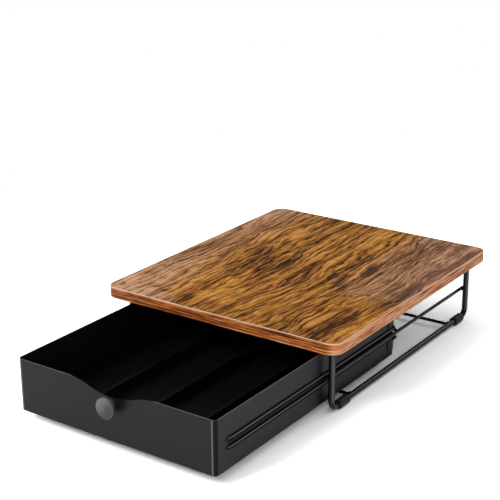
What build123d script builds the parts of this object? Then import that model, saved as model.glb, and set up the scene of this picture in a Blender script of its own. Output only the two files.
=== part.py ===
from build123d import *
import math
import os

# Table-top drawer for coffee pods: a wood-decor board on a wire stand, and a
# sheet-metal drawer that slides on two wire rails below it. Millimetres, +Z up.
# The front is -Y. Pieces are built about a point midway between the four legs
# and written about the origin: on the table, under the middle of the footprint.

# ---- driving dimensions: board -------------------------------------------
BOARD_WIDTH = 356.0
BOARD_DEPTH = 414.0
BOARD_THICKNESS = 15.0
BOARD_TOP_HEIGHT = 105.0
BOARD_CORNER_RADIUS = 17.0
LAMINATE_THICKNESS = 0.8
EDGE_BAND_THICKNESS = 1.0
EDGE_BAND_EASING = 0.7

# ---- driving dimensions: stand -------------------------------------------
FRONT_OVERHANG = 28.0        # board's front edge to the front legs' centre
REAR_OVERHANG = 18.0         # board's rear edge to the rear legs' centre
SIDE_OVERHANG = 22.5         # board's side to the legs' centre
FRAME_WIRE = 8.0
FRAME_BEND_RADIUS = 11.0     # to the centre of the wire
RAIL_WIRE = 4.5
RAIL_HEIGHT = 45.5
RAIL_END_REACH = 5.0         # rail past the centre of each leg
CROSS_WIRE = 4.5
CROSS_WIRE_INSET = 48.0      # centre of a cross wire to the legs' centre
WELD_SINK = 0.3              # how far a welded wire is set into its neighbour
SLEEVE_DIAMETER = 12.6
SLEEVE_LENGTH = 22.0
SLEEVE_INSET = 14.0          # leg's centre to the near end of its sleeve
SLEEVE_EASING = 1.0

# ---- driving dimensions: tabs and screws ---------------------------------
TAB_THICKNESS = 2.0
TAB_WIDTH = 16.0
TAB_REACH = 22.0             # inward from the frame's centre plane to the tab's tip
TAB_INSET = 60.0             # along the top bar from the leg's centre
TAB_HOLE_CLEARANCE = 0.8
BOARD_SCREW_SHANK = 3.6
BOARD_SCREW_BITE = 10.0      # length inside the board
BOARD_SCREW_HEAD = 8.0
BOARD_SCREW_HEAD_HEIGHT = 2.4
PILOT_EXTRA_DEPTH = 1.0
PILOT_CLEARANCE = 0.1        # on the diameter, round every screw's thread

# ---- driving dimensions: drawer ------------------------------------------
SHEET = 1.0
DRAWER_OPENING = 196.0       # how far the drawer stands open in this pose
DRAWER_FRONT_SETBACK = 0.5   # closed drawer's front behind the board's edge
DRAWER_GROUND_CLEARANCE = 14.0
DRAWER_TOP_CLEARANCE = 8.5   # drawer's rim below the board
RAIL_SIDE_CLEARANCE = 1.0    # side wall to rail
RAIL_GROOVE_CLEARANCE = 0.45  # ridge to rail, above and below
STOP_GAP = 0.3               # guide ear to rear leg when closed
DRAWER_CORNER_RADIUS = 6.0
DIP_WIDTH = 132.0
DIP_DEPTH = 12.0
RIDGE_RADIUS = 2.6
RIDGE_HEIGHT = 2.8
RIDGE_FRONT_GAP = 18.0       # drawer's front to the ridges' pointed ends
RIDGE_TAPER = 9.0
FLOOR_FLANGE = 10.0
FLAP_LENGTH = 13.0
UPPER_FLAP_HEIGHT = 20.0
LOWER_FLAP_HEIGHT = 14.0
EAR_STOP_OVERLAP = 1.1       # guide ear past the inner face of the legs
EAR_RAIL_CLEARANCE = 0.6
EAR_SLOPE_HEIGHT = 9.0
LANES = 4
DIVIDER_WIDTH = 6.0
DIVIDER_HEIGHT = 16.0
DIVIDER_END_GAP = 3.0
DIVIDER_EDGE_RADIUS = 1.6

# ---- driving dimensions: knob --------------------------------------------
KNOB_DIAMETER = 26.2
KNOB_REACH = 14.0
KNOB_RIM = 5.0
KNOB_NECK_DIAMETER = 15.0
KNOB_DOME = 1.2
KNOB_HEIGHT = 60.5           # centre above the table
KNOB_SCREW = 4.0
KNOB_SCREW_BITE = 8.0
KNOB_SCREW_HEAD = 7.6
KNOB_SCREW_HEAD_HEIGHT = 2.4
KNOB_HOLE_CLEARANCE = 0.5
WASHER_DIAMETER = 10.0
WASHER_THICKNESS = 0.8
RECESS_WIDTH = 1.2           # screwdriver recess, width of each arm
RECESS_DEPTH = 1.2

# ---- places worked out from the sizes above ------------------------------
LEG_SPAN = BOARD_DEPTH - FRONT_OVERHANG - REAR_OVERHANG
LEG_X = BOARD_WIDTH / 2 - SIDE_OVERHANG
REAR_LEG_Y = LEG_SPAN / 2
FRONT_LEG_Y = -LEG_SPAN / 2
BOARD_FRONT_Y = FRONT_LEG_Y - FRONT_OVERHANG
BOARD_REAR_Y = REAR_LEG_Y + REAR_OVERHANG
BOARD_CENTRE_Y = (BOARD_FRONT_Y + BOARD_REAR_Y) / 2
BOARD_UNDERSIDE = BOARD_TOP_HEIGHT - BOARD_THICKNESS
BOTTOM_BAR_Z = SLEEVE_DIAMETER / 2
TOP_BAR_Z = BOARD_UNDERSIDE - FRAME_WIRE / 2
LEG_INNER_X = LEG_X - FRAME_WIRE / 2
RAIL_X = LEG_INNER_X - RAIL_WIRE / 2 + WELD_SINK

DRAWER_HALF_WIDTH = RAIL_X - RAIL_WIRE / 2 - RAIL_SIDE_CLEARANCE
DRAWER_BOTTOM = DRAWER_GROUND_CLEARANCE
DRAWER_TOP = BOARD_UNDERSIDE - DRAWER_TOP_CLEARANCE
DRAWER_HEIGHT = DRAWER_TOP - DRAWER_BOTTOM
EAR_TIP_X = LEG_INNER_X + EAR_STOP_OVERLAP
LEG_STOP_REACH = math.sqrt((FRAME_WIRE / 2) ** 2 - (LEG_X - EAR_TIP_X) ** 2)
CLOSED_REAR_Y = REAR_LEG_Y - LEG_STOP_REACH - STOP_GAP
DRAWER_LENGTH = CLOSED_REAR_Y - BOARD_FRONT_Y - DRAWER_FRONT_SETBACK
DRAWER_REAR_Y = CLOSED_REAR_Y - DRAWER_OPENING
DRAWER_FRONT_Y = DRAWER_REAR_Y - DRAWER_LENGTH
KNOB_FACE_Y = DRAWER_FRONT_Y - KNOB_REACH
FOOTPRINT_CENTRE_Y = (KNOB_FACE_Y + BOARD_REAR_Y) / 2
FULLY_OPEN_REAR_Y = FRONT_LEG_Y + LEG_STOP_REACH + STOP_GAP + SHEET
FURTHER_OPENING = DRAWER_REAR_Y - FULLY_OPEN_REAR_Y
RIDGE_OFFSET = RAIL_WIRE / 2 + RAIL_GROOVE_CLEARANCE + RIDGE_RADIUS
RIDGE_HEIGHTS = (RAIL_HEIGHT - RIDGE_OFFSET, RAIL_HEIGHT + RIDGE_OFFSET)
FLOOR_TOP = DRAWER_BOTTOM + SHEET
INNER_HALF_WIDTH = DRAWER_HALF_WIDTH - 2 * SHEET
LANE_PITCH = 2 * INNER_HALF_WIDTH / LANES


def block(x_range, y_range, z_range):
    """Box between two limits along each axis."""
    size = [high - low for low, high in (x_range, y_range, z_range)]
    middle = [(high + low) / 2 for low, high in (x_range, y_range, z_range)]
    return Pos(*middle) * Box(*size)


def rod(start, direction, length, diameter):
    """Straight round bar from a start point."""
    base = Plane(origin=start, z_dir=direction)
    return extrude(base * Circle(diameter / 2), amount=length)


# ---- board ---------------------------------------------------------------
def board_slab(margin, bottom, thickness):
    """Rounded slab set in from the board's edge by margin."""
    outline = RectangleRounded(
        BOARD_WIDTH - 2 * margin,
        BOARD_DEPTH - 2 * margin,
        BOARD_CORNER_RADIUS - margin,
    )
    return extrude(Pos(0, BOARD_CENTRE_Y, bottom) * outline, amount=thickness)


def screw_places():
    """Centres of the four board screws, as (x, y)."""
    x = LEG_X - TAB_REACH + TAB_WIDTH / 2
    y_places = (FRONT_LEG_Y + TAB_INSET, REAR_LEG_Y - TAB_INSET)
    return [(side * x, y) for side in (-1, 1) for y in y_places]


def board_pieces():
    """Core, two laminates and the edge band of the top."""
    core_height = BOARD_THICKNESS - 2 * LAMINATE_THICKNESS
    core_bottom = BOARD_UNDERSIDE + LAMINATE_THICKNESS
    core = board_slab(EDGE_BAND_THICKNESS, core_bottom, core_height)
    top = board_slab(EDGE_BAND_THICKNESS, core_bottom + core_height, LAMINATE_THICKNESS)
    bottom = board_slab(EDGE_BAND_THICKNESS, BOARD_UNDERSIDE, LAMINATE_THICKNESS)
    for x, y in screw_places():
        pilot = rod(
            (x, y, BOARD_UNDERSIDE),
            (0, 0, 1),
            BOARD_SCREW_BITE + PILOT_EXTRA_DEPTH,
            BOARD_SCREW_SHANK + PILOT_CLEARANCE,
        )
        core -= pilot
        bottom -= pilot
    outer = board_slab(0, BOARD_UNDERSIDE, BOARD_THICKNESS)
    rims = outer.faces().filter_by(Axis.Z)
    outer = chamfer(rims.edges(), EDGE_BAND_EASING)
    band = outer - board_slab(EDGE_BAND_THICKNESS, BOARD_UNDERSIDE, BOARD_THICKNESS)
    return {
        "board_core": core,
        "board_top_laminate": top,
        "board_bottom_laminate": bottom,
        "board_edge_band": band,
    }


# ---- stand ---------------------------------------------------------------
def side_frame(x):
    """Closed loop of wire: two legs, a bottom bar and a top bar."""
    height = TOP_BAR_Z - BOTTOM_BAR_Z
    loop = RectangleRounded(LEG_SPAN, height, FRAME_BEND_RADIUS)
    plane = Plane(
        origin=(x, 0, (TOP_BAR_Z + BOTTOM_BAR_Z) / 2), x_dir=(0, 1, 0), z_dir=(1, 0, 0)
    )
    path = (plane * loop).face().outer_wire()
    start = Plane(origin=path @ 0, z_dir=path % 0)
    return sweep(start * Circle(FRAME_WIRE / 2), path=path)


def cross_wire(y, frames):
    """Floor-level wire between the bottom bars, coped to them."""
    half = LEG_INNER_X + WELD_SINK
    wire = rod((-half, y, BOTTOM_BAR_Z), (1, 0, 0), 2 * half, CROSS_WIRE)
    return wire - frames["side_frame_left"] - frames["side_frame_right"]


def rail(side, frame):
    """Wire on the inner faces of the legs, its ends rounded."""
    half = LEG_SPAN / 2 + RAIL_END_REACH
    wire = rod((side * RAIL_X, -half, RAIL_HEIGHT), (0, 1, 0), 2 * half, RAIL_WIRE)
    ends = wire.faces().filter_by(Axis.Y).edges()
    wire = fillet(ends, RAIL_WIRE * 0.4)
    return wire - frame


def foot_sleeve(x, leg_y):
    """Rubber sleeve on the bottom bar beside a leg."""
    inward = -1 if leg_y > 0 else 1
    start = (x, leg_y + inward * SLEEVE_INSET, BOTTOM_BAR_Z)
    body = rod(start, (0, inward, 0), SLEEVE_LENGTH, SLEEVE_DIAMETER)
    body = fillet(body.faces().filter_by(Axis.Y).edges(), SLEEVE_EASING)
    return body - rod(start, (0, inward, 0), SLEEVE_LENGTH, FRAME_WIRE)


def board_tab(side, y, frame):
    """Flat screw tab, its root coped to the top bar, its tip round."""
    tip = LEG_X - TAB_REACH
    centre = tip + TAB_WIDTH / 2
    root = Pos((centre + LEG_X) / 2, y) * Rectangle(LEG_X - centre, TAB_WIDTH)
    outline = root + Pos(centre, y) * Circle(TAB_WIDTH / 2)
    outline -= Pos(centre, y) * Circle((BOARD_SCREW_SHANK + TAB_HOLE_CLEARANCE) / 2)
    tab = extrude(Pos(0, 0, BOARD_UNDERSIDE - TAB_THICKNESS) * outline, amount=TAB_THICKNESS)
    if side < 0:
        tab = mirror(tab, about=Plane.YZ)
    outboard = block(
        sorted((side * LEG_X, side * (LEG_X + TAB_REACH))),
        (y - TAB_WIDTH, y + TAB_WIDTH),
        (0, BOARD_UNDERSIDE),
    )
    return tab - frame - outboard


def drive_recess(across, depth):
    """Cross-shaped screwdriver recess, its mouth at z=0 and opening to -Z."""
    arm = Pos(0, 0, depth / 2)
    return arm * Box(across, RECESS_WIDTH, depth) + arm * Box(RECESS_WIDTH, across, depth)


def pan_screw(head, head_height, shank, shank_length):
    """Pan-head screw pointing to +Z, its head's seat at z=0."""
    cap = Pos(0, 0, -head_height / 2) * Cylinder(head / 2, head_height)
    cap = fillet(cap.faces().sort_by(Axis.Z)[0].edges(), head_height * 0.6)
    cap -= Pos(0, 0, -head_height) * drive_recess(head * 0.55, RECESS_DEPTH)
    body = Pos(0, 0, shank_length / 2) * Cylinder(shank / 2, shank_length)
    body = chamfer(body.faces().sort_by(Axis.Z)[-1].edges(), shank * 0.25)
    return cap + body


def board_screws():
    """The four screws that hold the board to the tabs."""
    screw = pan_screw(
        BOARD_SCREW_HEAD,
        BOARD_SCREW_HEAD_HEIGHT,
        BOARD_SCREW_SHANK,
        BOARD_SCREW_BITE + TAB_THICKNESS,
    )
    seat = BOARD_UNDERSIDE - TAB_THICKNESS
    return Compound(children=[Pos(x, y, seat) * screw for x, y in screw_places()])


def stand_pieces():
    """Frames, wires, rails, sleeves, tabs and screws."""
    sides = {"left": -1, "right": 1}
    rows = {"front": FRONT_LEG_Y, "rear": REAR_LEG_Y}
    frames = {f"side_frame_{name}": side_frame(side * LEG_X) for name, side in sides.items()}
    pieces = dict(frames)
    for row, leg_y in rows.items():
        inward = math.copysign(1, -leg_y)
        pieces[f"{row}_cross_wire"] = cross_wire(leg_y + inward * CROSS_WIRE_INSET, frames)
    for name, side in sides.items():
        frame = frames[f"side_frame_{name}"]
        pieces[f"rail_{name}"] = rail(side, frame)
        for row, leg_y in rows.items():
            tab_y = leg_y + math.copysign(TAB_INSET, -leg_y)
            pieces[f"foot_sleeve_{row}_{name}"] = foot_sleeve(side * LEG_X, leg_y)
            pieces[f"board_tab_{row}_{name}"] = board_tab(side, tab_y, frame)
    pieces["board_screws"] = board_screws()
    return pieces


# ---- drawer --------------------------------------------------------------
def drawer_outline(inset):
    """Plan of the drawer set in by a distance, its two front corners round."""
    half = DRAWER_HALF_WIDTH - inset
    front = DRAWER_FRONT_Y + inset
    length = DRAWER_REAR_Y - SHEET - front
    outline = Pos(0, front + length / 2) * Rectangle(2 * half, length)
    front_corners = outline.vertices().group_by(Axis.Y)[0]
    return fillet(front_corners, DRAWER_CORNER_RADIUS - inset)


def front_dip():
    """Cutter for the dip in the front panel: one arc down, two arcs out."""
    quarter = DIP_WIDTH / 4
    half_drop = DIP_DEPTH / 2
    radius = (quarter ** 2 + half_drop ** 2) / (2 * half_drop)
    low = DRAWER_TOP - DIP_DEPTH
    high = DRAWER_TOP + DIP_DEPTH
    plane = Plane(origin=(0, DRAWER_FRONT_Y, 0), x_dir=(1, 0, 0), z_dir=(0, -1, 0))
    corner = [(side * 2 * quarter, DRAWER_TOP) for side in (-1, 1)]
    middle = [(side * quarter, DRAWER_TOP - half_drop) for side in (-1, 1)]
    shoulders = [RadiusArc(corner[0], middle[0], radius), RadiusArc(middle[1], corner[1], radius)]
    bottom = ThreePointArc(middle[0], (0, low), middle[1])
    lid = Polyline(corner[1], (corner[1][0], high), (corner[0][0], high), corner[0])
    face = make_face(Curve() + [shoulders[0], bottom, shoulders[1], lid])
    depth = 2 * DRAWER_CORNER_RADIUS
    return Pos(0, depth, 0) * extrude(plane * face, amount=2 * depth)


def ridge(side, height, radius):
    """Round ridge along a side wall with a pointed front end."""
    axis_x = DRAWER_HALF_WIDTH + RIDGE_HEIGHT - RIDGE_RADIUS
    tip = DRAWER_FRONT_Y + RIDGE_FRONT_GAP
    full = tip + RIDGE_TAPER
    rear = DRAWER_REAR_Y - SHEET
    taper_radius = (radius ** 2 + RIDGE_TAPER ** 2) / (2 * radius)
    profile = Curve() + [
        RadiusArc((0, tip), (radius, full), -taper_radius),
        Polyline((radius, full), (radius, rear), (0, rear), (0, tip)),
    ]
    return Pos(side * axis_x, 0, height) * revolve(make_face(profile), axis=Axis.Y)


def drawer_wrap():
    """Front panel and side walls, with the dip and the pressed ridges."""
    walls = extrude(Pos(0, 0, DRAWER_BOTTOM) * drawer_outline(0), amount=DRAWER_HEIGHT)
    hollow = extrude(Pos(0, 0, DRAWER_BOTTOM) * drawer_outline(SHEET), amount=DRAWER_HEIGHT)
    places = [(side, height) for side in (-1, 1) for height in RIDGE_HEIGHTS]
    for side, height in places:
        walls += ridge(side, height, RIDGE_RADIUS)
    walls -= hollow
    for side, height in places:
        walls -= ridge(side, height, RIDGE_RADIUS - SHEET)
    walls -= front_dip()
    hole = KNOB_SCREW + KNOB_HOLE_CLEARANCE
    return walls - rod((0, DRAWER_FRONT_Y, KNOB_HEIGHT), (0, 1, 0), SHEET, hole)


def drawer_floor():
    """Floor pan whose flange stands inside the walls."""
    pan = extrude(Pos(0, 0, DRAWER_BOTTOM) * drawer_outline(SHEET), amount=SHEET + FLOOR_FLANGE)
    inner = drawer_outline(2 * SHEET) - block(
        (-DRAWER_HALF_WIDTH, DRAWER_HALF_WIDTH), (DRAWER_REAR_Y - 2 * SHEET, DRAWER_REAR_Y), (-1, 1)
    )
    return pan - extrude(Pos(0, 0, FLOOR_TOP) * inner, amount=FLOOR_FLANGE)


def guide_ear(side, upper):
    """Ear beside the rail: flat towards the rail, sloped on its far side."""
    direction = 1 if upper else -1
    near = RAIL_HEIGHT + direction * (RAIL_WIRE / 2 + EAR_RAIL_CLEARANCE)
    tip_width = 2 * EAR_STOP_OVERLAP
    root_x = DRAWER_HALF_WIDTH
    points = [
        (root_x - SHEET, near),
        (EAR_TIP_X, near),
        (EAR_TIP_X, near + direction * tip_width),
        (root_x + SHEET, near + direction * EAR_SLOPE_HEIGHT),
        (root_x - SHEET, near + direction * EAR_SLOPE_HEIGHT),
    ]
    face = make_face(Polyline(*[(side * x, z) for x, z in points], close=True))
    plane = Plane(origin=(0, DRAWER_REAR_Y, 0), x_dir=(1, 0, 0), z_dir=(0, -1, 0))
    return extrude(plane * face, amount=SHEET)


def drawer_rear_panel():
    """Rear sheet with flaps outside the walls and ears round the rails."""
    rear = (DRAWER_REAR_Y - SHEET, DRAWER_REAR_Y)
    across = (-DRAWER_HALF_WIDTH, DRAWER_HALF_WIDTH)
    panel = block(across, rear, (DRAWER_BOTTOM, DRAWER_TOP))
    upper = RIDGE_HEIGHTS[1] + RIDGE_RADIUS + EAR_RAIL_CLEARANCE
    lower = RIDGE_HEIGHTS[0] - RIDGE_RADIUS - EAR_RAIL_CLEARANCE
    flap_y = (DRAWER_REAR_Y - FLAP_LENGTH, DRAWER_REAR_Y)
    for side in (-1, 1):
        flap_x = sorted((side * DRAWER_HALF_WIDTH, side * (DRAWER_HALF_WIDTH + SHEET)))
        panel += block(flap_x, flap_y, (upper, upper + UPPER_FLAP_HEIGHT))
        panel += block(flap_x, flap_y, (lower - LOWER_FLAP_HEIGHT, lower))
        panel += guide_ear(side, True)
        panel += guide_ear(side, False)
    return panel


def lane_divider(x):
    """Folded strip that parts two lanes of pods."""
    start = DRAWER_FRONT_Y + 2 * SHEET + DIVIDER_END_GAP
    end = DRAWER_REAR_Y - 2 * SHEET - DIVIDER_END_GAP
    half = DIVIDER_WIDTH / 2
    strip = block((x - half, x + half), (start, end), (FLOOR_TOP, FLOOR_TOP + DIVIDER_HEIGHT))
    top_edges = strip.faces().sort_by(Axis.Z)[-1].edges().filter_by(Axis.Y)
    strip = fillet(top_edges, DIVIDER_EDGE_RADIUS)
    inner = half - SHEET
    return strip - block(
        (x - inner, x + inner), (start, end), (FLOOR_TOP, FLOOR_TOP + DIVIDER_HEIGHT - SHEET)
    )


def knob():
    """Round knob turned about the Y axis, threaded from behind."""
    radius = KNOB_DIAMETER / 2
    neck = KNOB_NECK_DIAMETER / 2
    rim_edge = KNOB_REACH - KNOB_DOME
    rim_back = KNOB_REACH - KNOB_RIM
    dome_radius = (radius ** 2 + KNOB_DOME ** 2) / (2 * KNOB_DOME)
    profile = Curve() + [
        Polyline((0, 0), (neck, 0), (neck, -rim_back), (radius, -rim_back), (radius, -rim_edge)),
        RadiusArc((radius, -rim_edge), (0, -KNOB_REACH), -dome_radius),
        Line((0, -KNOB_REACH), (0, 0)),
    ]
    body = revolve(make_face(profile), axis=Axis.Y)
    rim = body.edges().filter_by(GeomType.CIRCLE).filter_by(lambda e: e.radius > radius - 0.01)
    body = fillet(rim, KNOB_DOME * 0.8)
    thread = KNOB_SCREW + PILOT_CLEARANCE
    body -= rod((0, 0, 0), (0, -1, 0), KNOB_SCREW_BITE + PILOT_EXTRA_DEPTH, thread)
    return Pos(0, DRAWER_FRONT_Y, KNOB_HEIGHT) * body


def knob_screw():
    """Screw from inside the drawer through washer and panel into the knob."""
    length = WASHER_THICKNESS + SHEET + KNOB_SCREW_BITE
    screw = pan_screw(KNOB_SCREW_HEAD, KNOB_SCREW_HEAD_HEIGHT, KNOB_SCREW, length)
    seat_y = DRAWER_FRONT_Y + SHEET + WASHER_THICKNESS
    return Pos(0, seat_y, KNOB_HEIGHT) * Rot(90, 0, 0) * screw


def knob_washer():
    """Washer between screw head and panel."""
    start = (0, DRAWER_FRONT_Y + SHEET, KNOB_HEIGHT)
    disc = rod(start, (0, 1, 0), WASHER_THICKNESS, WASHER_DIAMETER)
    return disc - rod(start, (0, 1, 0), WASHER_THICKNESS, KNOB_SCREW + KNOB_HOLE_CLEARANCE)


def drawer_pieces():
    """Everything that slides."""
    names = ("left", "middle", "right")
    pieces = {
        "drawer_wrap": drawer_wrap(),
        "drawer_floor": drawer_floor(),
        "drawer_rear_panel": drawer_rear_panel(),
        "knob": knob(),
        "knob_screw": knob_screw(),
        "knob_washer": knob_washer(),
    }
    for place, name in enumerate(names):
        x = -INNER_HALF_WIDTH + (place + 1) * LANE_PITCH
        pieces[f"lane_divider_{name}"] = lane_divider(x)
    return pieces


def main():
    """Write each piece to its own file, about the origin."""
    os.makedirs("parts", exist_ok=True)
    pieces = {**board_pieces(), **stand_pieces(), **drawer_pieces()}
    for name, shape in pieces.items():
        placed = [Pos(0, -FOOTPRINT_CENTRE_Y, 0) * solid for solid in shape.solids()]
        export_step(Compound(placed), f"parts/{name}.step")
        print(f"{name}: {len(placed)} solid(s), {shape.volume:.1f} mm3")
    print(f"drawer opens {FURTHER_OPENING:.2f} mm further and closes {DRAWER_OPENING:.2f} mm")


main()
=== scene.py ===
"""Finishes, weld beads and studio for a table-top pod drawer.

The object is a wood-decor board on a wire stand, with a sheet-metal drawer that slides on the
stand's rails. Lengths are in metres, and the drawer opens towards -Y.
"""

import math

import bpy
import numpy as np
from mathutils import Matrix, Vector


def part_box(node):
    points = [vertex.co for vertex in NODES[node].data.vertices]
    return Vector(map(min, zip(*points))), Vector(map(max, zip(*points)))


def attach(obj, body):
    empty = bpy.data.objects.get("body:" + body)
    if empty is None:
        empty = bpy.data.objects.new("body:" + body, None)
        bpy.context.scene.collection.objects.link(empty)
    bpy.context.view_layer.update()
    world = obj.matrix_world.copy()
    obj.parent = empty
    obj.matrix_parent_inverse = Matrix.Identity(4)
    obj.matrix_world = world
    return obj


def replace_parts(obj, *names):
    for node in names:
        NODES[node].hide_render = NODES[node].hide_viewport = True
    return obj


bl_info = {
    "name": "Pod drawer",
    "version": (1, 0, 0),
    "blender": (4, 5, 0),
    "location": "View3D > Sidebar > Pod drawer",
    "description": "Dresses the wood-decor board, wire stand and sheet-metal drawer",
    "category": "Object",
}

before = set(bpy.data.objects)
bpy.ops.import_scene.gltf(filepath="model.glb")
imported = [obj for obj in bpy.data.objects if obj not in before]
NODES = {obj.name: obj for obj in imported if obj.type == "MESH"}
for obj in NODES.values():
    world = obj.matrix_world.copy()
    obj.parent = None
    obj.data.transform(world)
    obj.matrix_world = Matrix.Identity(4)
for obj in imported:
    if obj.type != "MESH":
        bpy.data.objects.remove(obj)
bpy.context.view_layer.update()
MM = 0.001
TAU = 2 * math.pi


def node_box(name):
    """Lowest and highest corner of a CAD node, as two arrays in metres."""
    low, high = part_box(name)
    return np.array(low), np.array(high)


BAND_LOW, BAND_HIGH = node_box("board_edge_band")

# Drawer's outer wall, its corner bend and the two ridges pressed out of each side
CORNER = 6.0 * MM
RIDGE_RADIUS = 2.6 * MM
RIDGE_HEIGHT = 2.8 * MM
WRAP_LOW, WRAP_HIGH = node_box("drawer_wrap")
WALL_X = WRAP_HIGH[0] - RIDGE_HEIGHT
RIDGES = (40.2 * MM, 50.8 * MM)  # heights of their middles
RIDGE_TIPS = (18 * MM, 23 * MM)  # behind the front panel: where the painted shade along the ridges sets in

# Weld beads between rails and legs, and weld fillets round the ends of the cross wires
BEAD_HALF_LENGTH = 3.6 * MM
BEAD_RADIUS = 1.25 * MM
BEAD_RIPPLES = 5
BEAD_PROUD = 0.15 * MM  # a bead's axis inwards of the leg's inner face
BEAD_LAP = 0.10 * MM  # a bead's axis below the rail's surface
FILLET_REACH = 2.0 * MM
FILLET_LAP = 0.05 * MM  # a fillet's edge below the cross wire's surface
FILLET_SINK = 0.35 * MM  # a fillet's foot inside the bottom bar

# Wood print: painted shade patches and a painted highlight patch, as centre x, y and reach x, y
PAINTED_SHADE_PATCHES = (
    (0.150, -0.060, 0.034, 0.060),
    (0.158, 0.285, 0.050, 0.040),
    (0.166, 0.105, 0.014, 0.040),
    (-0.020, -0.085, 0.080, 0.026),
)
PAINTED_HIGHLIGHT_PATCH = (-0.118, -0.090, 0.045, 0.020)

# Coats: greys of the painted highlights and of the painted shade, and sheen levels
PAINTED_HIGHLIGHT_GREY = (0.11, 0.11, 0.11)
PAINTED_SHADE_GREY = (0.003, 0.003, 0.003)
PAINT_SHEEN = 0.5
SHEET_SHEEN = 0.29
RUBBER_SHEEN = 0.45

# Studio: lamps as name, place, width, height and watts; they face the lamp target
LAMPS = (
    ("key_box", (-0.50, -1.60, 1.35), 0.7, 0.7, 22.0),
    ("rear_box", (0.60, 1.70, 1.05), 0.6, 0.6, 3.0),
    ("right_strip", (1.45, -1.30, 0.30), 0.30, 0.5, 5.5),
    ("left_strip", (-1.9, 0.1, 0.5), 0.35, 1.0, 5.0),
)
LAMP_TARGET = (0.0, 0.0, 0.05)
FLOOR_COLOUR = (0.92, 0.92, 0.92)
FLOOR_REACH = 12.0
FLOOR_GAIN = 0.85  # extra share of the floor's own light that the camera sees
FLOOR_FADE = (0.55, 0.95)  # distances between which the floor turns plain white for the camera


# ---- shader maths ------------------------------------------------------------
class Wire:
    """An output socket of a shader node. Arithmetic on it adds Math nodes."""

    def __init__(self, paint, socket):
        self.paint = paint
        self.socket = socket

    def math(self, operation, *others):
        return self.paint.add("ShaderNodeMath", {"operation": operation}, [self, *others])

    def __add__(self, other):
        return self.math("ADD", other)

    __radd__ = __add__

    def __sub__(self, other):
        return self.math("SUBTRACT", other)

    def __rsub__(self, other):
        return self.paint.add("ShaderNodeMath", {"operation": "SUBTRACT"}, [other, self])

    def __mul__(self, other):
        return self.math("MULTIPLY", other)

    __rmul__ = __mul__

    def __truediv__(self, other):
        return self.math("DIVIDE", other)

    def __pow__(self, other):
        return self.math("POWER", other)

    def __abs__(self):
        return self.math("ABSOLUTE")

    def sine(self):
        return self.math("SINE")

    def most(self, other):
        return self.math("MAXIMUM", other)

    def step(self, low, high, start=0.0, end=1.0):
        """Smooth step from start to end as the value goes from low to high."""
        settings = {"interpolation_type": "SMOOTHSTEP"}
        return self.paint.add("ShaderNodeMapRange", settings, [self, low, high, start, end])

    def fall(self, low, high):
        """Smooth step from 1 to 0."""
        return self.step(low, high, 1.0, 0.0)

    def hill(self, foot, top, brow, end):
        """Smooth step from 0 to 1 between foot and top, and back to 0 between brow and end."""
        return self.step(foot, top) * self.fall(brow, end)


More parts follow.
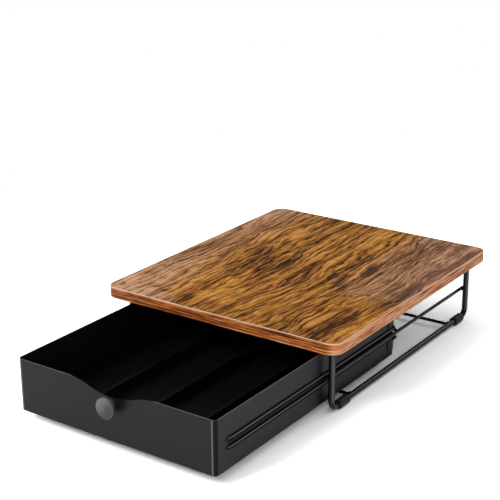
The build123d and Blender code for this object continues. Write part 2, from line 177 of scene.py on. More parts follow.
class Paint:
    """A material being made: one Principled shader and the nodes that feed it."""

    def __init__(self, name):
        self.material = bpy.data.materials.new(name)
        self.material.use_nodes = True
        self.tree = self.material.node_tree
        self.tree.nodes.clear()
        self.output = self.tree.nodes.new("ShaderNodeOutputMaterial")
        self.shader = self.tree.nodes.new("ShaderNodeBsdfPrincipled")
        self.tree.links.new(self.shader.outputs[0], self.output.inputs["Surface"])
        self.place = self.add("ShaderNodeTexCoord", out="Object")

    def add(self, kind, settings=None, values=(), out=0):
        """Any node: its settings first, then values or links of its sockets by place or name."""
        node = self.tree.nodes.new(kind)
        for key, value in (settings or {}).items():
            if key == "stops":
                self.set_stops(node.color_ramp, value)
            else:
                setattr(node, key, value)
        pairs = values.items() if isinstance(values, dict) else enumerate(values)
        for key, value in pairs:
            self.plug(node.inputs[key], value)
        return Wire(self, node.outputs[out])

    def plug(self, socket, value):
        if isinstance(value, Wire):
            self.tree.links.new(value.socket, socket)
        elif value is not None:
            socket.default_value = value

    def set_stops(self, ramp, stops):
        """Puts (position, colour) pairs on a colour ramp."""
        while len(ramp.elements) < len(stops):
            ramp.elements.new(1.0)
        for element, (position, colour) in zip(ramp.elements, stops):
            element.position = position
            element.color = (*colour, 1.0)

    def stretched(self, scale, shift=(0.0, 0.0, 0.0), source=None):
        """Object coordinates moved, then scaled along each axis."""
        values = [source or self.place, shift, (0.0, 0.0, 0.0), scale]
        return self.add("ShaderNodeMapping", {"vector_type": "POINT"}, values)

    def noise(self, where, detail=2.0, roughness=0.5, distortion=0.0):
        values = {
            "Vector": where,
            "Scale": 1.0,
            "Detail": detail,
            "Roughness": roughness,
            "Distortion": distortion,
        }
        return self.add("ShaderNodeTexNoise", {"noise_dimensions": "3D"}, values, out="Fac")

    def axes(self, where=None):
        """The three parts of a vector."""
        node = self.tree.nodes.new("ShaderNodeSeparateXYZ")
        self.plug(node.inputs[0], where or self.place)
        return [Wire(self, socket) for socket in node.outputs]

    def vector(self, x, y, z):
        return self.add("ShaderNodeCombineXYZ", None, [x, y, z])

    def ramp(self, value, stops):
        return self.add("ShaderNodeValToRGB", {"stops": stops}, [value])

    def mix(self, share, first, second):
        """Colour mix of two colours by a share from 0 to 1."""
        settings = {"data_type": "RGBA", "blend_type": "MIX", "clamp_factor": True}
        values = {0: share, 6: self.colour(first), 7: self.colour(second)}
        return self.add("ShaderNodeMix", settings, values, out=2)

    @staticmethod
    def colour(value):
        """A plain colour gets its alpha; anything else stays as it is."""
        return (*value, 1.0) if isinstance(value, tuple) and len(value) == 3 else value

    def bump(self, height, strength, distance):
        values = {"Strength": strength, "Distance": distance, "Height": height}
        return self.add("ShaderNodeBump", None, values, out="Normal")

    def mixed(self, share, first, second):
        """Shader mix of two shaders by a share from 0 to 1."""
        return self.add("ShaderNodeMixShader", None, [share, first, second])

    def show(self, shader):
        """Makes a shader the material's surface."""
        self.tree.links.new(shader.socket, self.output.inputs["Surface"])

    def set_sheen(self, sheen):
        """How strongly the Principled shader reflects."""
        self.shader.inputs["Specular IOR Level"].default_value = sheen

    def finish(self, **values):
        """Sets the shader's sockets, such as base_color=..., from numbers or links."""
        for key, value in values.items():
            socket = self.shader.inputs[key.replace("_", " ").title()]
            self.plug(socket, self.colour(value))
        return self.material


def dress(material, *names):
    """Puts a material on every slot of the CAD nodes named."""
    for name in names:
        for material_slot in NODES[name].material_slots:
            material_slot.link = "OBJECT"
            material_slot.material = material


# ---- surfaces ----------------------------------------------------------------
def put_grid(name, points, closed_u, closed_v, body, material, uv=None):
    """Mesh of quads over a grid of points (rows, columns, 3), joined round where closed.

    The quad at row i and column j joins points (i, j), (i + 1, j), (i + 1, j + 1), (i, j + 1);
    a closed direction wraps its last row or column back to its first.
    """
    rows, columns = points.shape[:2]
    index = np.arange(rows * columns).reshape(rows, columns)
    if closed_u:
        index = np.vstack([index, index[:1]])
    if closed_v:
        index = np.hstack([index, index[:, :1]])
    corners = [index[:-1, :-1], index[1:, :-1], index[1:, 1:], index[:-1, 1:]]
    quads = np.stack(corners, axis=-1).reshape(-1, 4)
    piece = put_mesh(name, points.reshape(-1, 3), quads.tolist(), body, material)
    if uv is not None:
        layer = piece.data.uv_layers.new(name="run")
        rows_at, columns_at = np.divmod(np.arange(quads.shape[0]), index.shape[1] - 1)
        step_rows = np.array([0, 1, 1, 0])
        step_columns = np.array([0, 0, 1, 1])
        at_u = rows_at[:, None] + step_rows
        at_v = columns_at[:, None] + step_columns
        layer.data.foreach_set("uv", np.stack([uv[0][at_u], uv[1][at_v]], axis=-1).ravel())
    return piece


def put_bead(name, points, material):
    """Closed bead on the stand: rings of points between two poles, the means of the end rows."""
    rows, columns = points.shape[0] - 2, points.shape[1]
    body = points[1:-1].reshape(-1, 3)
    poles = [points[0].mean(axis=0), points[-1].mean(axis=0)]
    index = np.arange(rows * columns).reshape(rows, columns)
    following = np.roll(index, -1, axis=1)
    corners = [index[:-1], following[:-1], following[1:], index[1:]]
    quads = np.stack(corners, axis=-1).reshape(-1, 4)
    first, last = rows * columns, rows * columns + 1
    start = np.stack([np.full(columns, first), following[0], index[0]], axis=-1)
    end = np.stack([np.full(columns, last), index[-1], following[-1]], axis=-1)
    faces = quads.tolist() + start.tolist() + end.tolist()
    return put_mesh(name, np.vstack([body, *poles]), faces, "stand", material)


def put_mesh(name, points, faces, body, material):
    """Smooth-shaded piece that rides on a body and takes its finish from a slot."""
    mesh = bpy.data.meshes.new(name)
    mesh.from_pydata(points.tolist(), [], faces)
    mesh.polygons.foreach_set("use_smooth", [True] * len(mesh.polygons))
    mesh.materials.append(material)
    mesh.update()
    piece = bpy.data.objects.new(name, mesh)
    bpy.context.scene.collection.objects.link(piece)
    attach(piece, body)
    return piece


def rounded_outline(half_x, half_y, centre_y, radius, per_corner, per_side):
    """Points, outward normals and running length round a rectangle with round corners.

    Each corner is its centre plus radius times (cos a, sin a) for a over a quarter turn;
    the straight sides between them are divided evenly.
    """
    points, normals = [], []
    quarter = np.linspace(0.0, TAU / 4, per_corner)
    share = np.linspace(0.0, 1.0, per_side + 2)[1:-1, None]
    signs = [(1, 1), (-1, 1), (-1, -1), (1, -1)]
    arcs = []
    for turn, (side_x, side_y) in enumerate(signs):
        angle = quarter + turn * TAU / 4
        normal = np.stack([np.cos(angle), np.sin(angle)], axis=-1)
        centre = np.array([side_x * (half_x - radius), centre_y + side_y * (half_y - radius)])
        arcs.append((centre + radius * normal, normal))
    for turn, (arc, normal) in enumerate(arcs):
        following = arcs[(turn + 1) % 4][0][0]
        points += [arc, arc[-1] + (following - arc[-1]) * share]
        normals += [normal, np.repeat(normal[-1:], per_side, axis=0)]
    points, normals = np.vstack(points), np.vstack(normals)
    steps = np.linalg.norm(np.diff(np.vstack([points, points[:1]]), axis=0), axis=1)
    return points, normals, np.concatenate([[0.0], np.cumsum(steps)])


def edge_band(settings, material):
    """Band round the board: a profile with two quarter-round arrises carried round the outline.

    A profile point is (outward offset, height): it runs up the outer face between two quarter
    circles of the arris radius, in across the top, down the inner face and out along the bottom.
    """
    arris = settings.arris
    thickness = settings.band
    low, high = BAND_LOW[2], BAND_HIGH[2]
    bend = np.linspace(0.0, TAU / 4, 6)
    lower = np.stack([arris * (np.sin(bend) - 1), low + arris * (1 - np.cos(bend))], axis=-1)
    upper = np.stack([arris * (np.cos(bend) - 1), high - arris * (1 - np.sin(bend))], axis=-1)
    rise = np.linspace(low + arris, high - arris, 8)[1:-1]
    face = np.stack([np.zeros_like(rise), rise], axis=-1)
    back = np.array([(-thickness, high), (-thickness, low)])
    profile = np.vstack([lower, face, upper, back])
    half = (BAND_HIGH - BAND_LOW) / 2
    centre_y = (BAND_HIGH[1] + BAND_LOW[1]) / 2
    points, normals, run = rounded_outline(*half[:2], centre_y, settings.corner, 17, 40)
    flat = points[:, None, :] + profile[None, :, :1] * normals[:, None, :]
    height = np.broadcast_to(profile[None, :, 1:], (*flat.shape[:2], 1))
    grid = np.concatenate([flat, height], axis=-1)
    rounds = np.append(profile[:, 1], profile[0, 1])
    return put_grid("edge_band", grid, True, True, "stand", material, (run, rounds))


def bead_points(half_length, radius, ripples, rows=28, columns=14):
    """Weld bead along Y: an ellipsoid whose girth swells and shrinks in ripples.

    At t from -1 to 1 the girth is radius * sqrt(1 - t^2) * (1 + 0.12 cos(pi * ripples * t)).
    """
    t = np.sin(np.linspace(-TAU / 4, TAU / 4, rows))[:, None]
    angle = np.linspace(0.0, TAU, columns, endpoint=False)[None, :]
    swell = 1 + 0.12 * np.cos(math.pi * ripples * t)
    girth = radius * np.sqrt(np.clip(1.0 - t ** 2, 0.0, 1.0)) * swell
    y = np.broadcast_to(half_length * t, (rows, columns))
    return np.stack([girth * np.sin(angle), y, girth * np.cos(angle)], axis=-1)


def ring_points(inner, reach, rows=20, columns=9):
    """Weld fillet round a wire that runs along X: radius falls from inner + reach to inner.

    At share s the ring lies reach * (1 - sin) along the wire and reach * (1 - cos) out of it,
    with a ripple of six waves round it. A last column inside the wire closes the section.
    """
    turn = np.linspace(0.0, TAU, rows, endpoint=False)[:, None]
    bend = np.linspace(0.0, TAU / 4, columns)[None, :]
    size = reach * (1 + 0.10 * np.cos(6 * turn))
    along = size * (1 - np.sin(bend))
    radius = inner + size * (1 - np.cos(bend))
    along = np.hstack([along, np.zeros((rows, 1))])
    radius = np.hstack([radius, np.full((rows, 1), 0.8 * inner)])
    return np.stack([along, radius * np.cos(turn), radius * np.sin(turn)], axis=-1)


# ---- materials ---------------------------------------------------------------
def wood_top_material(settings):
    """Printed rustic wood: grain runs front to back, golden in the middle, rosier on the right.
    The rosy wash is a painted reflection, with a painted highlight and patches of painted shade.
    """
    paint = Paint("rustic_wood_print")
    x, y, _ = paint.axes()
    drift = paint.noise(paint.stretched((8.0, 2.8, 1.0)), detail=3.0) - 0.5
    waver = paint.noise(paint.stretched((45.0, 15.0, 1.0)), detail=3.0) - 0.5
    across = x + drift * 0.052 + waver * 0.014
    grain = paint.vector(across, y, 0.0)

    def streaks(wide, long, shift, detail=3.0, roughness=0.6, distortion=0.0):
        """Noise round 0, with so many features per metre across and along the grain."""
        where = paint.stretched((wide, long, 1.0), (shift, shift, shift), grain)
        return paint.noise(where, detail, roughness, distortion) - 0.5

    def patch(centre_x, centre_y, reach_x, reach_y):
        """Soft spot on the board, 1 at its centre and 0 past its ragged rim."""
        aside = (across - centre_x) / reach_x
        ahead = (y - centre_y) / reach_y
        return (aside * aside + ahead * ahead + ragged * 1.6).fall(0.25, 1.15)

    broad = streaks(11.0, 4.0, 3.1)
    figure = streaks(62.0, 4.6, 7.7, 4.0, 0.62, 0.5)
    fibre = streaks(260.0, 9.0, 1.9, 4.0, 0.7, 0.3)
    hair = streaks(850.0, 45.0, 5.3, 2.0)
    ragged = streaks(70.0, 34.0, 8.6, 4.0, 0.7)
    side = across + ragged * 0.05
    first, *others = PAINTED_SHADE_PATCHES
    shade = patch(*first)
    for other in others:
        shade = shade.most(patch(*other))

    # Tone of the print: dark streaks below 0.2, the palest ones at 1
    # Painted shade darkens the tone inside the shaded patches
    tone = 0.54 - shade * 0.24
    tone = tone - side.step(0.06, 0.14) * y.step(0.08, 0.26) * 0.05
    tone = tone + broad * 1.3 + figure * 1.7 + fibre * 2.0 + hair * 1.9

    # Late wood: a thin dark line at the end of each year's ring, broken here and there
    rings = (across * 88.0 + broad * 7.0 + figure * 2.2 + 40.0).math("FRACT")
    late = rings.hill(0.55, 0.90, 0.92, 1.0)
    late = late * (streaks(24.0, 4.0, 12.4) + fibre * 0.6).step(-0.10, 0.05)
    wood = paint.ramp(
        tone - late * 0.30,
        [
            (0.0, tuple(settings.darkest)),
            (0.20, tuple(settings.dark)),
            (0.42, tuple(settings.middle)),
            (0.70, tuple(settings.golden)),
            (1.0, tuple(settings.light)),
        ],
    )

    # Painted reflection: a rosy wash of the bright surroundings on the left and at the right
    # rear, and a painted highlight at the front left
    right = side.step(0.050, 0.115) * (y + ragged * 0.05).step(0.020, 0.085)
    left = side.fall(-0.165, -0.075)
    light = (tone - late * 0.25).step(0.10, 0.85)
    rosy = paint.mix(light, tuple(settings.reflection_rosy_dark), tuple(settings.reflection_rosy_light))
    wood = paint.mix(right.most(left * 0.85) * broad.step(-0.20, 0.05, 0.55, 0.95), wood, rosy)
    wood = paint.mix(patch(*PAINTED_HIGHLIGHT_PATCH) * 0.65, wood, tuple(settings.reflection_rosy_light))

    # Dark clouds, ring lines, gashes, knots and saw marks
    clouds = streaks(30.0, 12.0, 15.9, 4.0, 0.7, 0.8)
    wood = paint.mix(clouds.step(0.05, 0.24, 0.0, 0.55), wood, tuple(settings.dark))
    wood = paint.mix(late * 0.66, wood, tuple(settings.darkest))
    cracks = streaks(240.0, 7.5, 9.2, 5.0, 0.75, 0.8).step(0.05, 0.14)
    knots = streaks(44.0, 16.0, 13.7, 3.0, 0.6, 1.2).step(0.13, 0.24)
    worn = streaks(16.0, 7.0, 11.3) + shade * 0.10
    gashes = cracks * worn.step(-0.06, 0.10)
    wood = paint.mix(gashes * 0.85, wood, tuple(settings.darkest))
    wood = paint.mix(knots * 0.70, wood, tuple(settings.darkest))
    saw = paint.noise(paint.stretched((40.0, 620.0, 1.0), (4.0, 4.0, 4.0)))
    sawn = saw.step(0.53, 0.66, 0.0, 0.55) * clouds.step(-0.15, 0.05)
    wood = paint.mix(sawn, wood, tuple(settings.dark))

    wipe = paint.noise(paint.stretched((7.0, 7.0, 1.0), (8.0, 8.0, 8.0)), detail=3.0)
    roughness = 0.34 + wipe * 0.10 + gashes * 0.12 - fibre * 0.10
    relief = fibre * 0.5 + hair * 0.5 - gashes * 0.9 - knots * 0.3
    normal = paint.bump(relief, 0.22, 0.3 * MM)
    paint.set_sheen(settings.sheen)
    return paint.finish(base_color=wood, roughness=roughness, normal=normal)


def wood_edge_material(settings):
    """Printed band: fine streaks along the edge, reddish, with a painted highlight on its upper
    arris and painted light on its long right side.
    """
    paint = Paint("wood_print_band")
    run = paint.add("ShaderNodeUVMap", {"uv_map": "run"})
    along, height, _ = paint.axes(run)
    bow = paint.noise(paint.vector(along * 9.0, height * 14.0, 2.0)) - 0.5
    level = height + bow * (3.5 * MM)

    def streaks(lengthwise, upward, shift, detail=3.0):
        """Noise with so many features per metre along the band and up it."""
        return paint.noise(paint.vector(along * lengthwise, level * upward, shift), detail, 0.6)

    patches = streaks(11.0, 60.0, 3.0)
    lines = streaks(14.0, 430.0, 6.0, 4.0)
    fine = streaks(70.0, 1500.0, 9.0, 2.0)
    ply = (level * (TAU * 270.0) + patches * 6.0).sine()

    # Painted light: the long right side is lighter, and more so at its front
    side, ahead, _ = paint.axes()
    painted_light_side = side.step(BAND_HIGH[0] - 15 * MM, BAND_HIGH[0] - 4 * MM)
    painted_light_side = painted_light_side * ahead.step(-0.02, 0.16, 1.2, 0.72)
    tone = patches * 1.7 + lines * 3.4 + fine * 1.6 + ply * 0.14 + painted_light_side * 0.40 - 2.98
    band = paint.ramp(
        tone,
        [
            (0.05, tuple(settings.band_dark)),
            (0.38, tuple(settings.band_red)),
            (0.68, tuple(settings.band_orange)),
            (1.0, tuple(settings.band_pale)),
        ],
    )
    # Painted highlight along the upper arris, broken up by the fine streaks
    top = level.step(BAND_HIGH[2] - 1.5 * MM, BAND_HIGH[2] - 0.7 * MM)
    highlight_breakup = fine.step(0.25, 0.55, 0.55, 0.95)
    band = paint.mix(top * highlight_breakup, band, tuple(settings.arris_highlight))
    bottom = level.fall(BAND_LOW[2] + 0.4 * MM, BAND_LOW[2] + 1.4 * MM)
    band = paint.mix(bottom * 0.6, band, tuple(settings.band_dark))
    normal = paint.bump(lines * 0.6 + fine * 0.4, 0.20, 0.3 * MM)
    paint.set_sheen(settings.sheen)
    return paint.finish(base_color=band, roughness=0.36 + lines * 0.16, normal=normal)


def sheet_material(name, colour, grit, gloss):
    """Board material without a print: a colour with mottling and fine grit."""
    paint = Paint(name)
    speck = paint.noise(paint.stretched((grit, grit, grit)), detail=3.0)
    cloud = paint.noise(paint.stretched((18.0, 18.0, 18.0)))
    dark = tuple(0.55 * part for part in colour)
    mottled = paint.mix(speck.step(0.30, 0.70) * 0.7 + cloud * 0.3, dark, tuple(colour))
    normal = paint.bump(speck, 0.3, 0.2 * MM)
    return paint.finish(base_color=mottled, roughness=gloss + speck * 0.15, normal=normal)


def coat_material(name, colour, gloss, sheen, grain=1100.0, relief=0.10, painted_light=None):
    """Baked paint: orange-peel relief, faint clouds in its gloss and sparse settled dust.

    gloss is the coat's roughness and sheen how strongly it reflects. The last argument gives two
    shares over the surface: a painted highlight, where a pale grey is mixed into the coat's
    colour, and painted shade, where a near-black diffuse shader is mixed over the coat.
    """
    paint = Paint(name)
    peel = paint.noise(paint.stretched((grain, grain, grain)))
    cloud = paint.noise(paint.stretched((14.0, 14.0, 14.0), (2.0, 5.0, 1.0)), detail=3.0)
    speck = paint.noise(paint.stretched((620.0, 620.0, 620.0), (7.0, 3.0, 9.0)), detail=1.0)
    tint = paint.mix(cloud.step(0.30, 0.72), tuple(0.8 * part for part in colour), tuple(colour))
    dust = tuple(min(1.0, 2.0 * part + 0.012) for part in colour)
    tint = paint.mix(speck.step(0.74, 0.82, 0.0, 0.5), tint, dust)
    roughness = gloss + cloud * 0.08 + speck * 0.03
    normal = paint.bump(peel, relief, 0.2 * MM)
    paint.set_sheen(sheen)
    if painted_light is not None:
        # Painted highlight lightens the colour and smooths the coat; painted shade swaps in a
        # near-black diffuse shader
        highlight_share, shade_share = painted_light(paint)
        tint = paint.mix(highlight_share, tint, PAINTED_HIGHLIGHT_GREY)
        roughness = roughness - highlight_share * 0.06
        painted_shade_shader = paint.add("ShaderNodeBsdfDiffuse", None, [paint.colour(PAINTED_SHADE_GREY)])
        paint.show(paint.mixed(shade_share, Wire(paint, paint.shader.outputs[0]), painted_shade_shader))
    return paint.finish(base_color=tint, roughness=roughness, normal=normal)


def leg_painted_highlight(paint):
    """Shares of painted highlight and painted shade on the legs: one narrow painted highlight down
    each, and no painted shade.

    aside and ahead are a point's offsets from its leg's axis. The line lies where the leg's
    surface faces forwards and outwards, and stops above the bend at the leg's foot.
    """
    low, high = node_box("side_frame_right")
    radius = (high[0] - low[0]) / 2
    half_span = (high[1] - low[1]) / 2 - radius
    x, y, z = paint.axes()
    aside = abs(x) - (low[0] + radius)
    ahead = y - (low[1] + high[1]) / 2
    ahead = ahead - ahead.math("SIGN") * half_span
    facing_way = (aside * 0.85 - ahead * 0.53) / radius
    skin = (aside * aside + ahead * ahead).step((0.8 * radius) ** 2, (0.9 * radius) ** 2)
    upright = z.step(14 * MM, 18 * MM)
    return facing_way.step(0.94, 0.985) * skin * upright * 0.65, 0.0


def knob_painted_light(paint):
    """Shares of painted highlight and painted shade on the knob: painted highlight on the rim,
    painted light at the upper left, and painted shade at the root.
    """
    low, high = node_box("knob")
    middle = (low + high) / 2
    radius = (high[0] - low[0]) / 2
    x, y, z = paint.axes()
    aside, up = x - middle[0], z - middle[2]
    reach = (aside * aside + up * up) ** 0.5 / radius
    # Painted highlight round the face's rim, and fainter over its outer ring
    outer = reach.step(0.90, 0.97)
    rim = outer * y.fall(low[1] + 0.8 * MM, low[1] + 1.6 * MM)
    side = outer * 0.35
    # Painted light on the face, brighter towards the upper left
    painted_light_upper_left = (up - aside).step(-0.8 * radius, 1.2 * radius) * 0.95
    # Painted shade towards the knob's root at the panel
    root = y.step(high[1] - 7 * MM, high[1] - 3 * MM) * 0.5
    return (rim * 0.7).most(side).most(painted_light_upper_left), root


def drawer_painted_light(paint):
    """Shares of painted highlight and of painted shade on the drawer's front corner bends, its
    side ridges and the top rim of its wall.

    bend runs from 0, where a corner leaves the front panel, to 1, where it meets the side wall.
    level runs from -1 at a ridge's lower edge to 1 at its upper edge.
    """
    x, y, z = paint.axes()
    out = abs(x)
    bend = (out - (WALL_X - CORNER)) / CORNER
    front = y.fall(WRAP_LOW[1] + 0.80 * CORNER, WRAP_LOW[1] + CORNER)
    # Painted highlight near the start of each front corner bend, and painted shade further round
    # it
    highlight_share = bend.hill(0.00, 0.14, 0.24, 0.38) * front
    shade_share = bend.hill(0.42, 0.56, 0.90, 0.98) * front * 0.55
    lifted = out.step(WALL_X + 0.5 * MM, WALL_X + 1.0 * MM)
    outside = out.step(WALL_X - 0.2 * MM, WALL_X + 0.15 * MM)
    behind_tips = y.step(WRAP_LOW[1] + RIDGE_TIPS[0], WRAP_LOW[1] + RIDGE_TIPS[1])
    # Each ridge: a painted highlight along its crest, and painted shade under it and just above it
    for height in RIDGES:
        level = (z - height) / RIDGE_RADIUS
        crest = level.hill(0.30, 0.46, 0.64, 0.82)
        highlight_share = highlight_share.most(crest * lifted)
        under = level.hill(-1.15, -0.95, 0.0, 0.22)
        above = level.hill(0.82, 0.95, 1.0, 1.2)
        shade_share = shade_share.most(under.most(above) * outside * behind_tips * 0.9)
    lower, upper = RIDGES
    # Painted shade in the channel between the two ridges
    channel = z.hill(lower + 1.8 * MM, lower + 2.4 * MM, upper - 2.4 * MM, upper - 1.8 * MM)
    shade_share = shade_share.most(channel * behind_tips * outside * 0.85)
    # Painted highlight along the top rim of the wall
    top_rim = z.step(WRAP_HIGH[2] - 0.30 * MM, WRAP_HIGH[2] - 0.05 * MM)
    return highlight_share.most(top_rim), shade_share


def zinc_material():
    """Zinc plate: cool metal with turned marks and a soft passivated bloom."""
    paint = Paint("zinc_plate")
    bloom = paint.noise(paint.stretched((160.0, 160.0, 160.0)), detail=3.0)
    lathe = paint.noise(paint.stretched((300.0, 300.0, 3000.0)))
    tint = paint.mix(bloom.step(0.3, 0.7), (0.46, 0.46, 0.44), (0.66, 0.66, 0.68))
    normal = paint.bump(lathe, 0.15, 0.1 * MM)
    roughness = 0.30 + bloom * 0.18
    return paint.finish(base_color=tint, metallic=1.0, roughness=roughness, normal=normal)


# ---- settings ----------------------------------------------------------------
def colour_setting(name, description, default):
    return bpy.props.FloatVectorProperty(
        name=name, description=description, default=default, subtype="COLOR", min=0.0, max=1.0
    )


def length_setting(name, description, default):
    return bpy.props.FloatProperty(
        name=name, description=description, default=default, min=0.0, unit="LENGTH"
    )


def share_setting(name, description, default):
    return bpy.props.FloatProperty(
        name=name, description=description, default=default, min=0.0, max=1.0, subtype="FACTOR"
    )


def angle_setting(name, description, degrees):
    return bpy.props.FloatProperty(
        name=name, description=description, default=math.radians(degrees), subtype="ANGLE"
    )


class BoardSettings(bpy.types.PropertyGroup):
    """Sizes of the edge band and the colours of the wood print."""

    corner: length_setting("Corner", "Radius of the board's corners in plan", 17 * MM)
    arris: length_setting("Arris", "Radius that eases the band's long edges", 0.95 * MM)
    band: length_setting("Band", "Thickness of the edge band", 1.0 * MM)
    sheen: share_setting("Sheen", "How strongly the print reflects", 0.20)
    darkest: colour_setting("Darkest grain", "Cracks and knots", (0.030, 0.011, 0.005))
    dark: colour_setting("Dark grain", "Dark streaks", (0.110, 0.038, 0.007))
    middle: colour_setting("Middle grain", "Ground of the print", (0.350, 0.124, 0.012))
    golden: colour_setting("Golden grain", "Golden streaks", (0.590, 0.236, 0.034))
    light: colour_setting("Light grain", "Palest streaks", (0.700, 0.360, 0.080))
    # Colours of the painted reflection: the rosy wash of the bright surroundings on the print
    reflection_rosy_dark: colour_setting("Rosy dark", "Darker rosy ground", (0.190, 0.082, 0.042))
    reflection_rosy_light: colour_setting("Rosy light", "Lighter rosy ground", (0.640, 0.350, 0.215))
    band_dark: colour_setting("Band dark", "Dark streaks of the band", (0.088, 0.020, 0.006))
    band_red: colour_setting("Band red", "Reddish ground of the band", (0.290, 0.070, 0.012))
    band_orange: colour_setting("Band orange", "Orange streaks of the band", (0.490, 0.155, 0.026))
    band_pale: colour_setting("Band pale", "Palest streaks of the band", (0.640, 0.310, 0.175))
    # Colour of the painted highlight along the band's upper arris
    arris_highlight: colour_setting("Arris", "Rubbed colour of the upper arris", (0.680, 0.430, 0.300))


class MetalSettings(bpy.types.PropertyGroup):
    """Colours of the painted metal and the rubber, and how glossy they are."""

    wire_colour: colour_setting("Wire", "Coat of the wires", (0.004, 0.004, 0.004))
    sheet_colour: colour_setting("Sheet", "Coat of the drawer", (0.005, 0.005, 0.005))
    knob_colour: colour_setting("Knob", "Coat of the knob", (0.030, 0.030, 0.031))
    rubber_colour: colour_setting("Rubber", "Foot sleeves", (0.012, 0.012, 0.012))
    wire_gloss: share_setting("Wire roughness", "Roughness of the wires' coat", 0.20)
    sheet_gloss: share_setting("Sheet roughness", "Roughness of the drawer's coat", 0.34)
    rubber_gloss: share_setting("Rubber roughness", "Roughness of the foot sleeves", 0.42)


# ---- operators ---------------------------------------------------------------
class BoardOperator(bpy.types.Operator):
    """Finish the board: printed top, edge band and backing sheet."""

    bl_idname = "pod_drawer.board"
    bl_label = "Finish the board"

    def execute(self, context):
        settings = context.scene.pod_board
        dress(wood_top_material(settings), "board_top_laminate")
        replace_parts(edge_band(settings, wood_edge_material(settings)), "board_edge_band")
        backing = sheet_material("backing_sheet", (0.085, 0.052, 0.034), 300.0, 0.55)
        dress(backing, "board_bottom_laminate")
        fibreboard = sheet_material("raw_fibreboard", (0.30, 0.19, 0.11), 900.0, 0.75)
        dress(fibreboard, "board_core")
        return {"FINISHED"}


class StandOperator(bpy.types.Operator):
    """Finish the wires and tabs, and lay the weld beads."""

    bl_idname = "pod_drawer.stand"
    bl_label = "Finish the stand"

    def execute(self, context):
        settings = context.scene.pod_metal
        look = (settings.wire_colour, settings.wire_gloss, PAINT_SHEEN)
        frame_coat = coat_material("black_frame_coat", *look, painted_light=leg_painted_highlight)
        dress(frame_coat, "side_frame_left", "side_frame_right")
        coat = coat_material("black_wire_coat", *look)
        starts = ("rail_", "front_cross", "rear_cross", "board_tab")
        dress(coat, *[name for name in NODES if name.startswith(starts)])
        dress(zinc_material(), "knob_screw", "knob_washer", "board_screws")
        self.lay_beads(coat)
        return {"FINISHED"}

    def lay_beads(self, coat):
        """Beads above and below each rail at each leg; a fillet round each cross wire's ends."""
        frame_low, frame_high = node_box("side_frame_right")
        leg_x = (frame_low[0] + frame_high[0]) / 2
        wire = (frame_high[0] - frame_low[0]) / 2
        rail_low, rail_high = node_box("rail_right")
        rail_z = (rail_low[2] + rail_high[2]) / 2
        rail_radius = (rail_high[2] - rail_low[2]) / 2
        legs = (frame_low[1] + wire, frame_high[1] - wire)
        bead = bead_points(BEAD_HALF_LENGTH, BEAD_RADIUS, BEAD_RIPPLES)
        beads, rings = [], []
        for side in (-1, 1):
            for leg_y in legs:
                for level in (-1, 1):
                    x = side * (leg_x - wire - BEAD_PROUD)
                    z = rail_z + level * (rail_radius - BEAD_LAP)
                    beads.append(bead + (x, leg_y, z))
        for name in ("front_cross_wire", "rear_cross_wire"):
            low, high = node_box(name)
            middle = (low + high) / 2
            radius = (high[2] - low[2]) / 2
            for side in (-1, 1):
                ring = ring_points(radius - FILLET_LAP, FILLET_REACH) * (-side, 1, 1)
                start = (side * (leg_x - wire + FILLET_SINK), middle[1], middle[2])
                rings.append((ring if side > 0 else ring[::-1]) + start)
        for count, points in enumerate(beads):
            put_bead(f"rail_weld_{count + 1}", points, coat)
        for count, points in enumerate(rings):
            name = f"cross_wire_weld_{count + 1}"
            put_grid(name, points, True, True, "stand", coat)


class SleeveOperator(bpy.types.Operator):
    """Finish the four rubber foot sleeves."""

    bl_idname = "pod_drawer.sleeves"
    bl_label = "Finish the foot sleeves"

    def execute(self, context):
        settings = context.scene.pod_metal
        look = (settings.rubber_colour, settings.rubber_gloss, RUBBER_SHEEN)
        rubber = coat_material("black_rubber", *look, grain=420.0, relief=0.25)
        dress(rubber, *[name for name in NODES if name.startswith("foot_sleeve")])
        return {"FINISHED"}


class DrawerOperator(bpy.types.Operator):
    """Finish the drawer's sheets and its knob."""

    bl_idname = "pod_drawer.drawer"
    bl_label = "Finish the drawer"

    def execute(self, context):
        settings = context.scene.pod_metal
        look = (settings.sheet_colour, settings.sheet_gloss, SHEET_SHEEN)
        coat = coat_material("black_sheet_coat", *look, painted_light=drawer_painted_light)
        dress(coat, *[name for name in NODES if name.startswith(("drawer_", "lane_divider"))])
        look = (settings.knob_colour, settings.sheet_gloss, PAINT_SHEEN)
        knob_coat = coat_material("knob_coat", *look, 1600.0, 0.16, knob_painted_light)
        dress(knob_coat, "knob")
        return {"FINISHED"}


class StageSettings(bpy.types.PropertyGroup):
    """Camera, floor and lights."""

    azimuth: angle_setting("Azimuth", "Camera's turn round the object", 35.03)
    pitch: angle_setting("Pitch", "How far the camera looks down", 19.37)
    roll: angle_setting("Roll", "Camera's turn about its own axis", -0.38)
    lens: bpy.props.FloatProperty(
        name="Lens",
        description="Focal length on a 36 mm sensor, in millimetres",
        default=89.93,
        min=10.0,
    )
    position: bpy.props.FloatVectorProperty(
        name="Position",
        description="Camera's place",
        default=(0.86221, -1.25254, 0.69411),
        subtype="TRANSLATION",
    )
    ambient: bpy.props.FloatProperty(
        name="Ambient",
        description="Strength of the light from all round",
        default=0.68,
        min=0.0,
    )
    mirrored: bpy.props.FloatProperty(
        name="Mirrored",
        description="Strength of the surroundings in reflections",
        default=0.10,
        min=0.0,
    )


def area_light(name, place, width, height, power):
    """Rectangular lamp at a place, facing the lamp target."""
    data = bpy.data.lights.new(name, "AREA")
    data.shape = "RECTANGLE"
    data.size = width
    data.size_y = height
    data.energy = power
    lamp = bpy.data.objects.new(name, data)
    bpy.context.scene.collection.objects.link(lamp)
    lamp.matrix_world = facing(place, np.subtract(place, LAMP_TARGET), 0.0)


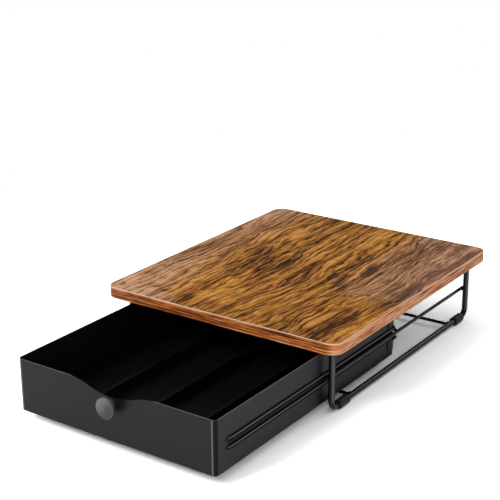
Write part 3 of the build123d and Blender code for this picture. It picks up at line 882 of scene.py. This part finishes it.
def facing(place, back, roll):
    """Matrix whose Z axis is back and whose Y axis points up the picture, turned by roll."""
    back = back / np.linalg.norm(back)
    right = np.cross((0.0, 0.0, 1.0), back)
    right /= np.linalg.norm(right)
    up = np.cross(back, right)
    c, s = math.cos(roll), math.sin(roll)
    turned = [c * right + s * up, c * up - s * right, back]
    matrix = np.eye(4)
    matrix[:3, :3] = np.transpose(turned)
    matrix[:3, 3] = place
    return Matrix(matrix.tolist())


class StageOperator(bpy.types.Operator):
    """Set the floor, the lights, the background and the camera."""

    bl_idname = "pod_drawer.stage"
    bl_label = "Set the stage"

    def execute(self, context):
        stage = context.scene.pod_stage
        self.make_floor()
        self.make_world(stage.ambient, stage.mirrored)
        for lamp in LAMPS:
            area_light(*lamp)
        self.make_camera(stage)
        context.scene.view_settings.view_transform = "Standard"
        return {"FINISHED"}

    def make_camera(self, stage):
        """Camera at its position, looking back along its azimuth and pitch."""
        data = bpy.data.cameras.new("camera")
        data.sensor_width = 36.0
        data.lens = stage.lens
        data.clip_start = 0.05
        data.clip_end = 50.0
        camera = bpy.data.objects.new("camera", data)
        bpy.context.scene.collection.objects.link(camera)
        level = math.cos(stage.pitch)
        across, ahead = math.sin(stage.azimuth) * level, -math.cos(stage.azimuth) * level
        back = np.array([across, ahead, math.sin(stage.pitch)])
        camera.matrix_world = facing(tuple(stage.position), back, stage.roll)
        bpy.context.scene.camera = camera

    def make_floor(self):
        """Large flat sheet: pale and lit near the object, plain white further off."""
        signs = [(-1, -1), (1, -1), (1, 1), (-1, 1)]
        corners = [(x * FLOOR_REACH, y * FLOOR_REACH, 0.0) for x, y in signs]
        mesh = bpy.data.meshes.new("floor")
        mesh.from_pydata(corners, [], [(0, 1, 2, 3)])
        floor = bpy.data.objects.new("floor", mesh)
        bpy.context.scene.collection.objects.link(floor)
        paint = Paint("studio_floor")
        paint.set_sheen(0.0)
        paint.finish(base_color=FLOOR_COLOUR, roughness=0.9)
        x, y, _ = paint.axes()
        distance = (x * x + y * y) ** 0.5
        camera_ray = paint.add("ShaderNodeLightPath", out="Is Camera Ray")
        lit = Wire(paint, paint.shader.outputs[0])
        layer = paint.add("ShaderNodeBsdfDiffuse", None, [paint.colour(FLOOR_COLOUR)])
        black = paint.add("ShaderNodeBsdfDiffuse", None, [(0.0, 0.0, 0.0, 1.0)])
        extra = paint.mixed(camera_ray * FLOOR_GAIN, black, layer)
        bright = paint.add("ShaderNodeAddShader", None, [lit, extra])
        white = paint.add("ShaderNodeEmission", None, [(1.0, 1.0, 1.0, 1.0), 1.0])
        paint.show(paint.mixed(camera_ray * distance.step(*FLOOR_FADE), bright, white))
        mesh.materials.append(paint.material)

    def make_world(self, ambient, mirrored):
        """White all round for the camera, dimmer as a light and darker still in reflections."""
        world = bpy.data.worlds.new("studio")
        world.use_nodes = True
        tree = world.node_tree
        tree.nodes.clear()
        output = tree.nodes.new("ShaderNodeOutputWorld")
        background = tree.nodes.new("ShaderNodeBackground")
        background.inputs["Color"].default_value = (1.0, 1.0, 1.0, 1.0)
        path = tree.nodes.new("ShaderNodeLightPath")
        seen = tree.nodes.new("ShaderNodeMath")
        seen.operation = "MAXIMUM"
        dimmed = tree.nodes.new("ShaderNodeMapRange")
        dimmed.inputs["To Min"].default_value = ambient
        dimmed.inputs["To Max"].default_value = mirrored
        tree.links.new(path.outputs["Is Glossy Ray"], dimmed.inputs["Value"])
        tree.links.new(path.outputs["Is Camera Ray"], seen.inputs[0])
        tree.links.new(dimmed.outputs[0], seen.inputs[1])
        tree.links.new(seen.outputs[0], background.inputs["Strength"])
        tree.links.new(background.outputs[0], output.inputs["Surface"])
        bpy.context.scene.world = world


class PodDrawerPanel(bpy.types.Panel):
    """Lists the steps and their settings."""

    bl_idname = "VIEW3D_PT_pod_drawer"
    bl_label = "Pod drawer"
    bl_space_type = "VIEW_3D"
    bl_region_type = "UI"
    bl_category = "Pod drawer"

    def draw(self, context):
        for operator in OPERATORS:
            self.layout.operator(operator.bl_idname)
        for group in GROUPS.values():
            settings = getattr(context.scene, group)
            for name in settings.__annotations__:
                self.layout.prop(settings, name)


GROUPS = {BoardSettings: "pod_board", MetalSettings: "pod_metal", StageSettings: "pod_stage"}
OPERATORS = (BoardOperator, StandOperator, SleeveOperator, DrawerOperator, StageOperator)


def register():
    for group, name in GROUPS.items():
        bpy.utils.register_class(group)
        setattr(bpy.types.Scene, name, bpy.props.PointerProperty(type=group))
    for operator in OPERATORS:
        bpy.utils.register_class(operator)
    bpy.utils.register_class(PodDrawerPanel)


def unregister():
    bpy.utils.unregister_class(PodDrawerPanel)
    for operator in reversed(OPERATORS):
        bpy.utils.unregister_class(operator)
    for group, name in GROUPS.items():
        delattr(bpy.types.Scene, name)
        bpy.utils.unregister_class(group)


def main():
    register()
    for operator in OPERATORS:
        group, name = operator.bl_idname.split(".")
        getattr(getattr(bpy.ops, group), name)()


if __name__ == "__main__":
    main()
